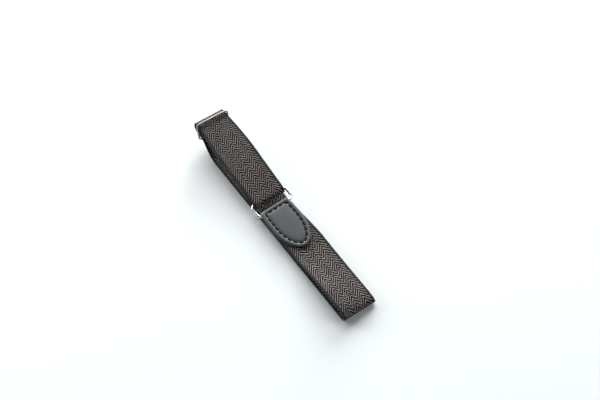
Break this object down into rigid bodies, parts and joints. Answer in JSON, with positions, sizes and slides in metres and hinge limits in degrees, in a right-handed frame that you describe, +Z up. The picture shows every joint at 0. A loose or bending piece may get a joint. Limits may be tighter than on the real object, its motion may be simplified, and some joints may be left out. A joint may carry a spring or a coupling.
{
  "type": "sleeve garter (shirt sleeve holder)",
  "caption": "Elastic webbing loop with a wire slider, a wire ring and a stitched leather tab, worn round the upper arm to hold up a shirt sleeve.",
  "frame": {"origin": "middle of the footprint, on the surface that the garter lies on", "axes": "+X along the flattened loop from the slider to the plain fold, +Y across the webbing, +Z up"},
  "size_m": [0.144, 0.0233, 0.0175],
  "materials": {
    "elastic": "woven elastic, grey-brown and black herringbone with plain dark edges",
    "leather": "smooth black satin",
    "metal": "bright polished nickel plate"
  },
  "bodies": {
    "root": {"elastic_strap": "elastic", "leather_tab": "leather", "ring": "metal", "slider": "metal"}
  },
  "joints": []
}
